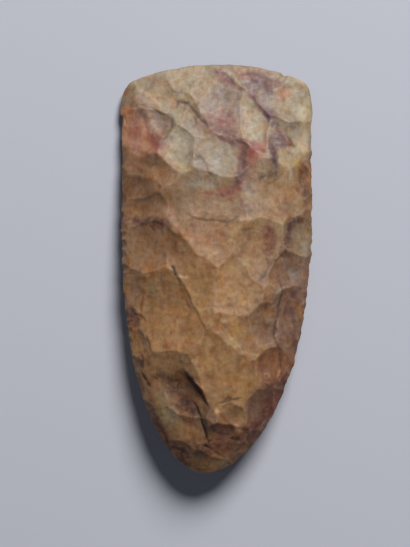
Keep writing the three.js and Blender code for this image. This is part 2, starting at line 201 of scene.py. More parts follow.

# Cracks and healed joints, and a few lines of painted shadow and shade: a route, width, depth, colour and how
# strongly it shows
strokes = {
    "wedgeLine": ([(-19, 71.5), (-18, 68.5), (-16, 66.5), (-14.6, 65)], 0.5, 0.08, "umber", 0.3),
    "veinHead": ([(-14.8, 60.3), (-14.3, 62.5), (-10.4, 61.5), (-8.8, 59.5), (-7, 56.5), (-6, 54.8)],
                 0.7, 0.12, "veinBrown", 0.9),
    "veinMain": ([(-6.3, 55), (-3.6, 53.8), (-1, 51.5), (2.5, 51), (5, 49.5), (8, 47.5), (10.8, 45.6)],
                 0.85, 0.12, "veinBrown", 0.95),
    "veinDark": ([(6.5, 48), (8.5, 47), (10.6, 45.8)], 1, 0.1, "umber", 0.8),
    "veinTwin": ([(-9, 57.5), (-8, 55), (-7.5, 53.3)], 0.4, 0.05, "plumBrown", 0.6),
    "veinUnder": ([(0, 49.5), (3, 47.6), (7, 46.2)], 0.7, 0.05, "maroon", 0.8),
    "pocketTop": ([(-33, 62), (-31.5, 60.5), (-27, 60.8), (-23, 59.5), (-20, 57.3), (-16.5, 57.3)],
                  0.5, 0.1, "umber", 0.5),
    "pocketRight": ([(-16.2, 57), (-16.3, 53), (-17, 50.5), (-19.5, 48), (-20, 45)], 0.5, 0.1, "umber", 0.5),
    "pocketLeft": ([(-28, 58), (-26.5, 56), (-25.5, 53), (-25.3, 50), (-22.5, 48.3)],
                   0.55, 0.06, "maroon", 0.5),
    "roundRight": ([(-11.5, 52), (-9.5, 49.5), (-8, 46.5), (-7.3, 44.5)], 0.6, 0.04, "umber", 0.25),
    "creamCrack": ([(-8.6, 43), (-7, 41.8), (-5, 40.5), (-4, 38.5), (-3, 36), (-1.2, 34)],
                   0.42, 0.12, "oliveDark", 0.9),
    "redFoot": ([(-34.5, 45), (-30, 44.3), (-26, 43), (-24, 41)], 0.55, 0.1, "umber", 0.5),
    "bitVein": ([(0.5, 73.6), (3, 72.3), (6, 69.5), (8.5, 67), (10.6, 66.3)], 0.75, 0.05, "plum", 0.85),
    "purpleLine": ([(9.5, 68.8), (12, 67.3), (14, 65.5), (13.6, 63.5), (15, 61.5), (16.5, 60), (18, 57.8),
                    (21, 56)], 0.9, 0.06, "plum", 0.9),
    "bitBandUpper": ([(9.5, 72.6), (12.5, 72.9), (15, 72.3), (18, 71.3), (20.5, 70), (23.5, 69.3)],
                     0.9, 0.03, "veinBrown", 0.85),
    "bitBandLower": ([(13, 70.3), (15.5, 69.6), (17.6, 68.8), (19, 66.5)], 0.6, 0, "plum", 0.5),
    "rightRed": ([(22, 52), (24.5, 49), (26, 46)], 0.42, 0.04, "veinBrown", 0.85),
    "rightRedOuter": ([(25, 51), (27, 47.5), (28.6, 45.2)], 0.42, 0.04, "maroon", 0.7),
    "purpleLow": ([(19.4, 48.5), (19.3, 45), (20.2, 42.6), (22.3, 43.4)], 0.7, 0.05, "plum", 0.85),
    "purpleTail": ([(22.6, 41.6), (21.7, 40.5), (21.4, 37.8)], 0.6, 0.05, "plum", 0.7),
    "maroonDrop": ([(10.6, 45.9), (9.8, 42), (9.7, 37.4), (8.3, 33), (5.8, 29.6)],
                   1.35, 0.05, "maroon", 0.95),
    "oliveDrop": ([(10.8, 45), (10.2, 42), (9.3, 39.5), (9, 36.5)], 0.7, 0.05, "oliveDark", 0.6),
    "redTop": ([(13.6, 44.4), (16, 44.3), (18.2, 43.3)], 0.6, 0.05, "redBrown", 0.8),
    "lensRed": ([(17.2, 49), (17.8, 47), (17.2, 45.4)], 0.8, 0, "red", 0.6),
    "bandRed": ([(5, 28.8), (3, 27.4), (0, 27.6), (-2, 28), (-5.4, 28.3)], 0.7, 0.03, "redBrown", 0.7),
    "brownStreak": ([(24.2, 35.7), (22, 33.5), (20, 32), (17.6, 31.3)], 0.5, 0.05, "umber", 0.5),
    "rustCurve": ([(30, 38), (31.2, 36), (30.4, 33), (31.6, 30.4)], 0.7, 0.1, "umber", 0.6),
    "darkTop": ([(-35, 39.2), (-31, 38.6), (-28, 37)], 0.8, 0.05, "plum", 0.45),
    "darkUpper": ([(-34, 36.2), (-30, 36.4), (-25.6, 36.2)], 0.5, 0.05, "umber", 0.35),
    "leftJoint": ([(-35, 18.5), (-30, 18.8), (-28, 17.6), (-25.6, 16.4)], 0.4, 0.06, "plum", 0.6),
    "brownCrack": ([(-24.7, 16.8), (-23.7, 15.5), (-22.4, 14.4)], 0.3, 0.1, "umber", 0.8),
    "underBand": ([(-9, 19.2), (-4, 18.2), (3, 17.8), (5.6, 18.1)], 0.4, 0.04, "umber", 0.35),
    "underBandEnd": ([(5.2, 18.1), (6.5, 18.8), (8.2, 19.7)], 0.45, 0.08, "umber", 0.6),
    "deepCrack": ([(-16.5, 1.8), (-15.6, -0.4), (-14.6, -1.8)], 0.65, 0.5, "black", 0.95),
    "deepCrackSide": ([(-14.4, -0.6), (-12.6, -1.4), (-11.4, -1.6)], 0.4, 0.06, "umber", 0.6),
    "deepCrackRun": ([(-14.6, -2), (-13.4, -5), (-12, -8), (-10.8, -11.4), (-9.4, -14.4)],
                     0.5, 0.05, "redBrown", 0.5),
    "deepCrackTwin": ([(-13.2, -9.5), (-12.3, -12.5), (-11.6, -15.2)], 0.3, 0, "umber", 0.2),
    "sweepUpper": ([(32, 18.7), (30, 18.4), (27.5, 17.2), (26.4, 15), (26, 12), (25.8, 9), (24.2, 7)],
                   1, 0.04, "maroon", 0.55),
    "sweepLower": ([(24.6, 7.4), (23, 5), (20, 3), (18.5, 0.5), (17, -2), (15.3, -4.8)],
                   0.45, 0.06, "redBrown", 0.6),
    "hook": ([(17.1, 12), (17.2, 15), (20.4, 15), (21, 11), (19.8, 8.2), (17.6, 7.8)],
             1.1, 0.03, "redBrown", 0.6),
    "hookTail": ([(16.6, 8.2), (17.6, 6), (18.8, 3), (18.4, 0.8)], 0.5, 0.03, "redBrown", 0.45),
    "greenEdge": ([(7.6, 14.8), (12, 15.3), (15.2, 14.8)], 0.5, 0.1, "oliveDark", 0.45),
    "rightLine": ([(22.4, -1.5), (23, -4.5), (24, -7), (23.4, -9.4), (22.4, -13), (22, -17), (21.5, -20),
                   (21, -23), (21.6, -26.4), (23, -28.2), (23, -31), (23.6, -35), (24, -38.4)],
                  0.42, 0.2, "umber", 0.75),
    "darkStreak": ([(18, -8.6), (18.2, -11), (17.6, -13.6)], 0.8, 0, "redBrown", 0.5),
    "maroonRight": ([(26.8, -12.6), (27.6, -16), (28.8, -20.4)], 0.9, 0, "plum", 0.6),
    "brownRight": ([(25.6, -9.6), (25.2, -15)], 0.6, 0.05, "redBrown", 0.5),
    "mauveTop": ([(13.4, -19.4), (17, -19.8), (20.6, -20.6)], 0.45, 0.05, "umber", 0.35),
    "orangeLeft": ([(16.8, -28.8), (15.8, -33), (16.8, -37.4)], 1, 0, "maroon", 0.5),
    "ovalRight": ([(-27, -4.6), (-27, -9), (-27.5, -13), (-27.4, -15.4)], 0.6, 0.05, "redBrown", 0.6),
    "ovalFoot": ([(-31.8, -12.8), (-30, -15.6), (-27.5, -16.6), (-26, -17.6)], 0.5, 0.12, "umber", 0.7),
    "edgeLine": ([(-33, -18.7), (-30.8, -18.3)], 0.45, 0.2, "umber", 0.8),
    "leftMid": ([(-25.6, -23.3), (-24.8, -27), (-23.9, -29.8)], 0.42, 0.25, "umber", 0.8),
    "leftLowTop": ([(-30, -30.2), (-28, -29.8), (-27, -31.6)], 0.4, 0.1, "oliveDark", 0.5),
    "leftLow": ([(-27.1, -30.8), (-27, -33), (-27.3, -36.4)], 0.45, 0.25, "umber", 0.8),
    "leftLower": ([(-27.6, -37.4), (-25.7, -40), (-24, -42.8)], 0.5, 0.3, "umber", 0.85),
    # painted shadow: black along the foot of the step, on the wall away from the lamp
    "stepShadow": ([(-12, -37.6), (-9.6, -39.4), (-7, -42.2), (-5, -45.2), (-3.2, -48.8)],
                   0.6, 0.1, "black", 0.8),
    "greenCrack": ([(-9, -46.4), (-7.3, -49), (-6, -52), (-5.2, -54.5), (-4.6, -57), (-3.7, -59), (-3.4, -61),
                    (-3, -62.8)], 0.42, 0.18, "black", 0.95),
    "greenCrackTwin": ([(-5, -55.4), (-4, -57), (-3.8, -58.8)], 0.35, 0.1, "black", 0.6),
    "pollShort": ([(-4.6, -62.9), (-3, -64), (-1.7, -65.1)], 0.45, 0.3, "black", 0.9),
    "pollThin": ([(-1.8, -65.1), (1, -67), (3.6, -68.6)], 0.4, 0.1, "umber", 0.6),
    "tanCrackLow": ([(0.3, -48.1), (3, -47), (5.5, -46.5), (9.2, -45.9)], 0.4, 0.05, "umber", 0.95),
    "tanCrackHigh": ([(2.4, -46.6), (4, -45.7), (5.7, -46.4)], 0.34, 0.05, "umber", 0.85),
    "rimRed": ([(-25, -51.4), (-22, -55.5), (-20, -58), (-18.5, -60), (-18, -63), (-17.4, -65.4)],
               0.75, 0.2, "redBrown", 0.85),
    "rimRedLow": ([(-17.2, -64), (-14, -65), (-11.2, -66)], 0.69, 0.2, "maroon", 0.95),
    "rimBlack": ([(-17.4, -66.6), (-13, -69), (-10, -71), (-7, -72.2), (-4.2, -72.4)],
                 0.6, 0.2, "umber", 0.5),
    "pollSpot": ([(4.8, -60.6), (6.5, -61), (8.2, -61.8)], 0.85, 0.3, "black", 0.85),
    "pollSpotLine": ([(-2.6, -58), (2, -59), (5.4, -59.6)], 0.45, 0.1, "umber", 0.5),
    "facetFoot": ([(0.8, -51.8), (4, -55), (6.2, -57.6)], 0.5, 0.05, "umber", 0.5),
    "facetRight": ([(12.6, -47), (11.6, -51), (11, -56.6)], 0.8, 0.05, "maroon", 0.45),
    "pollRightDark": ([(11, -64.2), (14.8, -63.4)], 0.7, 0.2, "black", 0.6),
    # painted shade in the notch at the edge
    "notchShade": ([(20, -41), (23, -41.6), (26, -40.4)], 0.9, 0.1, "black", 0.5),
}

# Worn ridges and polished spots, paler than the stone beside them, with a few strokes of painted light and a
# painted highlight: a route, width, colour and strength
arrises = {
    "bitRidge": ([(2.5, 74.3), (6.5, 72), (7.6, 70), (9, 68.6), (10.6, 67)], 0.6, "paleCream", 0.88),
    "cornerRidge": ([(-28, 66.6), (-24, 63.4), (-20, 60.8)], 0.6, "pinkCream", 0.5),
    "pinkStripe": ([(-16.4, 64.4), (-16.3, 60)], 0.9, "pinkCream", 0.62),
    "lensLeft": ([(10.5, 60), (10.6, 54), (11, 48.6)], 0.4, "pinkCream", 0.75),
    "lensRight": ([(15.4, 58.4), (17.6, 56), (18.6, 52.4)], 0.4, "paleCream", 0.62),
    "peachRidge": ([(-25.4, 37.8), (-23, 36), (-22.2, 32.4), (-20.6, 28.4)], 1.6, "peach", 0.6),
    "pinkRidge": ([(-19.4, 25.6), (-17.6, 22.6), (-16.6, 19.6), (-15.1, 16.6), (-14.3, 14.8)],
                  1.5, "pinkCream", 0.8),
    "veeLeft": ([(-13, 15), (-12.5, 12), (-10.5, 9.8), (-7.5, 6.5), (-5.5, 3.7), (-3.4, 2.7)],
                0.8, "peach", 0.85),
    "veeSpot": ([(-3.2, 4.8), (-1.5, 5.8), (0.8, 7.4)], 0.7, "paleTan", 0.75),
    "veeRight": ([(8.3, 17.2), (7, 14.5), (5.5, 12), (3, 9.6)], 0.9, "straw", 0.75),
    "rippleUpper": ([(-9.4, 15.6), (-3, 15.3), (2.4, 15.7)], 0.6, "paleTan", 0.55),
    "rippleMiddle": ([(-10.4, 10.8), (-6, 10.6), (-3, 11.5)], 0.55, "paleTan", 0.55),
    "rippleLower": ([(-1.4, 10.2), (2.8, 9.6)], 0.45, "pinkCream", 0.62),
    "thumbLeft": ([(-0.8, -3), (-0.9, -9), (-0.6, -14), (0.8, -17.4)], 0.55, "pinkCream", 0.75),
    "thumbFoot": ([(0.7, -17.3), (2.2, -18.5), (5, -17.9), (8.2, -15.8)], 0.6, "paleTan", 0.9),
    "goldFacet": ([(1.4, -19.4), (4, -22.5), (7, -26.3), (9, -28.8), (12, -29.8), (15, -30.5), (16.4, -28.2)],
                  0.4, "straw", 0.7),
    "longFoot": ([(-24.2, -26.4), (-22, -28.2), (-20, -29.5), (-16, -29.8), (-12.5, -31), (-10.5, -33.2),
                  (-9.5, -34.6), (-6.8, -33)], 0.6, "peach", 0.88),
    "ovalFootLight": ([(-30.8, -13.2), (-28.6, -15), (-27.8, -13.6)], 0.9, "pinkCream", 0.95),
    "brownMidFoot": ([(-33, -0.6), (-26, 0.3), (-17.6, 0.9)], 0.65, "peach", 0.62),
    "goldTop": ([(-10.4, -16.8), (-6.5, -17.3), (-4.3, -19.2)], 0.45, "peach", 0.62),
    "goldLine": ([(-9.2, -15.6), (-7, -14.8), (-4, -13.8), (-1.8, -13.2)], 0.45, "straw", 0.62),
    # painted highlight along the lit lip of the step
    "stepLipHighlight": ([(-8.4, -39.6), (-6.8, -40.8), (-5, -42.4)], 0.5, "peachCream", 1),
    "tipSpot": ([(-0.8, -51), (1, -50.5)], 0.9, "peachCream", 1.00),
    "facetSpot": ([(6.4, -55.8), (7.4, -57.6), (8.7, -58.4)], 0.9, "peachCream", 1.00),
    "facetRim": ([(2, -48.8), (5, -49.2), (8.4, -47.6)], 0.5, "straw", 0.44),
    "stripeSpot": ([(24.1, -6.2), (22.8, -7.6), (21.2, -7.8)], 0.55, "cream", 1.00),
    "orangeSpot": ([(23, -36.4), (22, -38.4)], 0.6, "peachCream", 0.6),
    "orangeArc": ([(16.8, -37.8), (18.3, -37.3), (19.3, -38.8)], 0.35, "pinkCream", 0.6),
    "leftSpeck": ([(-26.5, -25.3), (-25.6, -27.4)], 0.4, "cream", 0.9),
    "rimPale": ([(-19.1, -60.8), (-18.6, -63.8)], 0.45, "pinkCream", 0.88),
    "pollCream": ([(-2.4, -69), (0.5, -70), (2.4, -71.2)], 1, "cream", 0.81),
    "pollBright": ([(8.2, -68.9), (9.5, -68.2)], 0.6, "greyCream", 1.00),
    "pollOrange": ([(-13, -60.4), (-11.6, -62.6), (-9.8, -61.8)], 0.9, "orange", 0.62),
    # painted light: paler strokes that lift the shaded side of a step
    "jointPaintedLight": ([(-27, 16.6), (-22.6, 16.6), (-18.4, 15.6)], 1.1, "rust", 0.5),
    "lowSidePaintedLight": ([(-17, 15), (-13.8, 11), (-10.2, 6.6), (-4, 1.6)], 1.4, "goldBrown", 0.5),
}

# Clouds of iron stain round the veins: a route, how far it spreads, colour, strength, and strength of the
# spidery threads in it
halos = {
    "alongMain": ([(-6, 54), (-1, 51.4), (2.9, 48.9), (6.9, 47.4), (10.6, 45.9)], 1.5, "veinPink", 0.75, 0.6),
    "topLeft": ([(0.8, 73), (3.5, 71), (6.5, 68.6), (8.6, 67)], 1.4, "veinPink", 0.7, 0.7),
    "topBand": ([(9.2, 72.6), (14, 71.6), (18.4, 70), (22.8, 69)], 1.6, "veinPink", 0.8, 0.9),
    "topPurple": ([(13, 68), (16, 66), (18.6, 67)], 2.6, "veinPurple", 0.35, 0.6),
    "purpleBesideLens": ([(11.4, 67.4), (13.7, 64.6), (15.4, 61.7), (17.6, 58.3), (19.9, 56.1)],
                         1.2, "veinPink", 0.6, 0.6),
    "purpleCore": ([(18.8, 58.6), (21.2, 54.8), (21.9, 50), (23.6, 46.4)], 1.9, "veinPurple", 0.95, 1),
    "purpleBranch": ([(22.8, 50), (25.5, 47), (28.2, 45.2)], 1, "veinPink", 0.5, 0.8),
    "purpleSecond": ([(21.6, 47.6), (20.2, 45), (20.8, 42.4), (21.8, 39)], 1.5, "veinPurple", 0.75, 1),
    "redCore": ([(13.8, 42.6), (13.2, 40.6)], 2.2, "red", 1, 0.7),
    "redDrop": ([(10.4, 45), (9.8, 41), (9.6, 37), (8.3, 33), (5.8, 29.6)], 2.1, "redDeep", 0.85, 0.8),
    "redEnd": ([(5.4, 29.6), (3.6, 28.8)], 2, "red", 0.6, 0.6),
    "redLine": ([(3, 27.8), (-5, 28.2)], 1.5, "rust", 0.4, 0.6),
    "redSpot": ([(3.4, 55.4), (2, 54.4), (1.2, 53.4)], 2.4, "redDeep", 0.85, 0.5),
    "pinkAboveSpot": ([(-2, 57), (2, 58.4)], 2.6, "veinPink", 0.35, 0.3),
    "crossRight": ([(12, 35), (17, 33.6), (21, 35)], 2.2, "mauve", 0.35, 0.9),
    "sweep": ([(32, 18.5), (27, 16.8), (26.2, 12), (24.4, 7)], 1.3, "veinBrown", 0.45, 0.9),
    "sweepFoot": ([(24.4, 7), (20, 3), (16, -4)], 1.2, "mauve", 0.3, 0.7),
    "rightEdge": ([(32.2, 39), (32.6, 30), (33, 18)], 1.5, "redBrown", 0.5, 0.8),
    "pollRim": ([(-24, -52), (-19, -61), (-13, -67), (-5, -71)], 1.8, "maroon", 0.1, 0.7),
    "hookHalo": ([(18.4, 15), (19.4, 11.6), (18.4, 8)], 2, "redDeep", 0.5, 0.8),
    "lowRightMottle": ([(19, -42), (20.4, -50), (14, -60)], 3.6, "maroon", 0.4, 0.6),
    "alongMainWide": ([(-4, 55), (1, 52.6), (7, 49.6)], 3.2, "veinPink", 0.35, 0.3),
    "topBandLow": ([(10, 70), (14.4, 70), (17.6, 69.2), (19, 67)], 1.4, "veinPurple", 0.6, 0.8),
    "redShoulder": ([(12.6, 45.2), (17.4, 44.4)], 1.6, "veinPink", 0.8, 0.6),
    "plumBand": ([(-22, -38.6), (-16, -40), (-11.6, -41.4)], 2, "veinBrown", 0.4, 0.8),
    "plumBowl": ([(-16, -44), (-11.4, -47.6), (-9, -51)], 3, "veinBrown", 0.6, 0.8),
    "rightMottle": ([(24, -40), (22, -46), (17.6, -52), (13, -58)], 2.6, "redDeep", 0.4, 0.6),
    "pollMottle": ([(-12, -66), (-4, -62), (4, -63), (10, -66)], 3, "veinBrown", 0.2, 0.7),
    "plumJoint": ([(-30, 18.4), (-24, 17.8), (-17.6, 16.8)], 1.5, "veinBrown", 0.45, 0.8),
}

# Clouds of colour, and a few of painted shade and painted light: x, y, radius across, radius along, turn,
# colour and strength
clouds = {
    "bitOrange": (24.8, 65.2, 3, 3, 0, "orangeDeep", 0.75),
    "cornerSpot": (-32.8, 66, 2.2, 2.2, 0, "cinnamon", 0.95),
    "edgeOrange": (-34, 55, 1.4, 4.4, 0, "orange", 0.6),
    "peachBit": (-12, 72.4, 4, 1.2, 8, "peach", 0.5),
    "pinkUpper": (-13, 66.3, 2, 1.4, 0, "pinkGrey", 0.6),
    "yellowUpper": (-9, 65, 3.4, 3, 40, "straw", 0.45),
    "yellowLeft": (-22, 64.4, 4, 2, -30, "straw", 0.35),
    "coolUpper": (-1.4, 61, 3, 3.6, 0, "coolGrey", 0.5),
    "coolPocket": (-23, 53, 3, 2.4, 0, "coolGrey", 0.5),
    "coolWide": (0, 36.8, 6.8, 3.4, 0, "mauveGrey", 0.4),
    "lensPink": (17.2, 54, 1.3, 3.6, 8, "peach", 0.6),
    "mauveBelow": (12, 30.4, 3.4, 2.6, 0, "mauveGrey", 0.6),
    "mauveLow": (10.4, 23.4, 4.6, 3.4, -10, "mauve", 1),
    "mauveRightSide": (29, -1.4, 3.4, 3.8, 0, "mauveGrey", 0.8),
    "ochreDrop": (29.4, 37.4, 1.1, 2.6, 0, "ochre", 0.7),
    "ochreRight": (33.4, 33, 1.4, 3, 0, "ochre", 0.45),
    "oliveTop": (7.6, 43, 1.6, 2.6, 0, "ochre", 0.4),
    "ochreLeftCloud": (-28, 22, 4, 2.6, 0, "ochre", 0.4),
    "oliveLeft": (-23.4, 28, 2.4, 2.8, 0, "oliveDark", 0.4),
    "plumDark": (-30, 34, 4.4, 2.4, 0, "purpleBrown", 0.5),
    "plumStep": (-20.4, 18, 6.4, 1.9, -4, "maroon", 0.5),
    "oliveStep": (-15.6, 15.8, 1.4, 1.2, 0, "ochre", 0.5),
    "orangeTan": (25, 26, 4.4, 1.8, 0, "orange", 0.35),
    "hookSpot": (19, 11.6, 1.8, 3.4, 0, "redDeep", 0.4),
    "hookCloud": (19, 11.6, 3.4, 4.6, 0, "rust", 0.3),
    "darkKnot": (24.6, 6.4, 1.6, 1.4, 0, "redBrown", 0.6),
    "veePink": (-6, 12, 4.6, 3.4, -20, "peach", 0.4),
    "goldThumb": (6.4, 1, 3.4, 2.6, 0, "straw", 0.6),
    "thumbCream": (3.6, -16, 3.4, 1.5, 12, "paleTan", 0.7),
    "goldBelow": (2.4, -24.6, 3.6, 4.6, -30, "goldDeep", 1),
    "oliveGold": (12, -24.6, 2, 1.6, 0, "ochre", 0.4),
    "oliveStreak": (9, -32, 0.9, 2.4, -15, "oliveDark", 0.6),
    # painted shade: a darker golden band in a hollow
    "shadeGold": (-9.4, -21.4, 3.6, 4.6, 15, "goldDeep", 0.8),
    "redOnLong": (-18.6, -5.6, 1.8, 1.6, 0, "orange", 0.75),
    "oliveLong": (-23, -7, 2.6, 3.6, 0, "greenSand", 0.5),
    "oliveLongLow": (-24, -12.6, 2.4, 2, 0, "greenSand", 0.4),
    "orangeSwirl": (-4.6, -39, 2, 2, 0, "orange", 0.55),
    "plumLow": (-16, -40.2, 5.4, 2, -15, "maroon", 0.1),
    "plumLeft": (-24.2, -35, 2, 3, 0, "purpleBrown", 0.4),
    "oliveCream": (-19.6, -44.4, 3, 2.2, 20, "olive", 0.6),
    "redHem": (-22.4, -52, 1.4, 5, 28, "redBrown", 0.35),
    "plumTip": (-5.8, -65.8, 3, 1.8, 0, "plumRed", 0.5),
    "stripeDark": (28.6, -8.6, 1.8, 1.8, 0, "plum", 0.75),
    "oliveRim": (30.6, -14, 1.2, 4.6, 8, "ochre", 0.35),
    "darkRim": (28.2, -25.6, 1.2, 4, 10, "maroon", 0.6),
    "notchRed": (20.8, -42.8, 4, 2.2, 20, "redBrown", 0.55),
    "lowRight": (20.4, -49, 2.4, 4, 10, "redBrown", 0.6),
    "greyFacet": (5, -51.6, 3, 2.4, 0, "greyTan", 0.5),
    "yellowTip": (-1.6, -68, 2.4, 1.2, 0, "ochre", 0.4),
    "creamTip": (-6, -74, 3.4, 1.2, 0, "greyTan", 0.6),
    "plumStepLow": (-9.4, -48, 3.2, 4.4, 20, "plumRed", 0.6),
    "oliveWide": (-16.8, -52, 4, 7.6, 28, "greyOlive", 0.85),
    "plumAfterCrack": (-2.8, -52.8, 3.2, 5, 8, "plumRed", 0.75),
    "tanBesideCrack": (-9.2, -57.4, 3, 4.2, 10, "goldBrown", 0.6),
    "pollOrangeCloud": (-12.4, -61.8, 1.6, 1.6, 0, "peach", 0.5),
    "goldUnder": (11.6, -30.4, 6.4, 3, 0, "goldDeep", 0.9),
    "plumRightLow": (15, -49, 3, 4, 0, "redBrown", 0.3),
    "sandRight": (27.2, 22.2, 5, 4, 0, "darkTan", 0.95),
    "edgeGreyPale": (32.4, 7.6, 2.2, 5, 0, "coolGrey", 0.7),
    "redFlankSpot": (-30.6, 51.6, 2.4, 3, 10, "red", 0.5),
    "redFlankInner": (-24.4, 49, 2.6, 2.4, -20, "red", 0.5),
    "cornerMauve": (-28.8, 63, 3.8, 2.8, -10, "mauve", 0.9),
    "mauveFlank": (-26.2, 58.8, 5.2, 3, 0, "mauve", 0.95),
    # painted light: a paler cream lifts the right slopes that face away from the lamp
    "rightCream": (24.8, 37.2, 4.4, 4.2, 0, "paintedLightCream", 0.8),
    "rightCreamHigh": (28.6, 44.8, 3, 3, 0, "paintedLightCream", 0.85),
    "edgeCream": (32.4, 46, 2.4, 6.6, 0, "paintedLightCream", 0.7),
    "edgeCreamHigh": (32.4, 58, 2.4, 5, 0, "paintedLightCream", 0.7),
    "redHeart": (10.9, 38.2, 2.6, 5.6, 12, "redDeep", 1),
    "redHigh": (14.6, 43.8, 3.4, 3.6, -10, "red", 0.8),
    "redUnder": (10.8, 45.2, 2.2, 2, 0, "redDeep", 0.5),
    "redSpotCloud": (2, 54.2, 2.6, 2.4, 0, "redDeep", 1),
    "creamShade": (-7, 42.8, 4.4, 8, 0, "mauveGrey", 0.65),
    "plumOval": (-31, -15.6, 2.4, 1.4, 0, "plum", 0.5),
    "sweepTop": (30, 18.6, 2.6, 1.3, 10, "maroon", 0.2),
    "goldYellow": (7.4, -22.4, 3, 3.4, -40, "yellowGold", 0.7),
    "lowRightSpot": (20.4, -49.4, 1.3, 1.6, 0, "rust", 0.7),
    "pollShade": (2, -55.4, 6.4, 4.6, 10, "plumRed", 0.45),
    "bandCream": (-4.4, 32.4, 5.4, 2.4, 0, "greyCream", 0.8),
    "greyBit": (-22.5, 70.4, 4.6, 1.8, 20, "mauveGrey", 0.6),
    "paleShoulder": (-21, 66.4, 3.4, 2, -30, "paleCream", 0.6),
    "tanStripe": (-18.4, 40.4, 5.4, 2.8, -35, "darkTan", 0.5),
    "pinkFoot": (-20.8, 46.6, 3.2, 4.2, 0, "redDeep", 0.8),
    "creamShadeHigh": (-7, 62.8, 4, 3.4, 0, "mauveGrey", 0.6),
    "creamShadeMid": (-9.6, 52.4, 4.6, 4.6, 0, "mauveGrey", 0.5),
    "creamRightLow": (18.4, 36.8, 3.8, 4, 0, "greyCream", 0.5),
    "shadeGoldRight": (-1.6, -20.8, 4.6, 6, 0, "goldDeep", 0.8),
    "tanBesideLine": (18.8, -15.8, 3, 3.4, 0, "goldBrown", 0.6),
    "brownBesideLine": (19, -25.4, 2.6, 3, 0, "redBrown", 0.3),
    "greyLens": (16, -52.4, 2.4, 4.2, -20, "greenGrey", 0.5),
    "ochreSpot": (29, 39.8, 2.2, 2, 0, "yellowGold", 0.8),
    "pollTan": (-2.6, -60.8, 3, 2.4, 0, "goldBrown", 0.5),
    "tanHook": (15.4, -7.6, 3, 3, 0, "darkTan", 0.5),
    "thumbTan": (2, -11.6, 3.4, 3, 0, "goldDeep", 0.5),
    "cornerCream": (28.3, 63.2, 3, 2.4, 0, "dullCream", 0.7),
    "brownRightLow": (23.9, -25.2, 2.6, 3, 0, "redBrown", 0.3),
    "longTan": (-11.4, -34.6, 3, 2.6, 0, "olive", 1),
}

# Chert and jasper in one nodule: cream flint, tan and golden jasper, iron-red stain
stoneColours = {
    "paleCream": "#9a9480",
    "cream": "#948872",
    "greyCream": "#908a7e",
    "coolGrey": "#8c857c",
    "straw": "#a58f66",
    "peachCream": "#c39c78",
    "pinkCream": "#b08c74",
    "peach": "#a97f5c",
    "pinkGrey": "#82726a",
    "greyTan": "#847059",
    "dullCream": "#8a8069",
    "olive": "#937a5c",
    "greyOlive": "#93866a",
    "darkTan": "#80654b",
    "paleTan": "#ab8b69",
    "goldDeep": "#845f38",
    "cinnamon": "#825a40",
    "dullPink": "#b98d78",
    "umberTan": "#7d6548",
    "warmBrown": "#886647",
    "russet": "#86604a",
    "greenSand": "#857553",
    "sand": "#92795b",
    "tan": "#967455",
    "gold": "#98764b",
    "goldBrown": "#a38059",
    "ochre": "#96682a",
    "orange": "#94663f",
    "rust": "#a06c56",
    "red": "#8f3a2e",
    "redDeep": "#74382e",
    "redBrown": "#5e3426",
    "maroon": "#52292a",
    "brown": "#98785c",
    "darkBrown": "#7c5e45",
    "mauve": "#785d4c",
    "mauveGrey": "#796a60",
    "plum": "#54323e",
    "plumRed": "#55352b",
    "plumBrown": "#4b2f2c",
    "purpleBrown": "#7c5945",
    "greenGrey": "#7f6c54",
    "oliveDark": "#54411f",
    "umber": "#3c271c",
    "black": "#140d0a",
    "yellowGold": "#a08448",
    "orangeDeep": "#996338",
    "veinBrown": "#553433",
    "veinPink": "#8a5350",
    "veinPurple": "#634552",
    # painted light: paler than the stone itself, for slopes in shade
    "paintedLightCream": "#b8ae96",
}


def srgb(hexCode):
    parts = [int(hexCode[i:i + 2], 16) / 255 for i in (1, 3, 5)]
    return tuple(c / 12.92 if c <= 0.04045 else ((c + 0.055) / 1.055) ** 2.4 for c in parts)


def smoothStep(low, high, value):
    t = np.clip((value - low) / (high - low), 0, 1)
    return t * t * (3 - 2 * t)


def scatter(index):
    wave = np.sin(np.asarray(index) * 12.9898) * 43758.5453
    return wave - np.floor(wave)


# Smooth lumps of a given size, from -1 to 1, the same on every run
def lumps(x, y, size, seed):
    column, row = np.floor(x / size), np.floor(y / size)
    fx, fy = x / size - column, y / size - row
    fx, fy = fx * fx * (3 - 2 * fx), fy * fy * (3 - 2 * fy)

    def corner(i, j):
        return scatter((column + i) * 1.37 + (row + j) * 71.13 + seed * 17.7)

    lower = corner(0, 0) * (1 - fx) + corner(1, 0) * fx
    upper = corner(0, 1) * (1 - fx) + corner(1, 1) * fx
    return 2 * (lower * (1 - fy) + upper * fy) - 1


def layeredLumps(x, y, size, seed, layers=3):
    total, weight = 0, 1.0
    for layer in range(layers):
        turn = 0.7 * layer + seed
        tx = x * math.cos(turn) - y * math.sin(turn)
        ty = x * math.sin(turn) + y * math.cos(turn)
        total = total + weight * lumps(tx, ty, size / 2 ** layer, seed + layer)
        weight *= 0.5
    return total / (2 - 2 * weight)


# Coordinates that stray by so much, over lumps of a given size
def astray(wander, x, y, seeds, layers):
    reach, size = wander
    shiftX, shiftY = (reach * layeredLumps(x, y, size, seed, layers) for seed in seeds)
    return x + shiftX, y + shiftY


# Small irregular facets, from 0 on their edges to 1 in their hollows, with ridges between them
def facets(x, y, size, seed):
    px, py = x / size + seed * 3.1, y / size + seed * 5.7
    column, row = np.floor(px), np.floor(py)
    nearest = np.full(np.shape(x), 9.0)
    for i in (-1, 0, 1):
        for j in (-1, 0, 1):
            key = (column + i) * 12.7 + (row + j) * 31.1 + seed
            dx = column + i + 0.5 + 0.9 * (scatter(key) - 0.5) - px
            dy = row + j + 0.5 + 0.9 * (scatter(key + 0.7) - 0.5) - py
            weight = 0.35 * scatter(key + 0.4)
            nearest = np.minimum(nearest, dx * dx + dy * dy + weight)
    return 1 - np.clip(nearest, 0, 1)


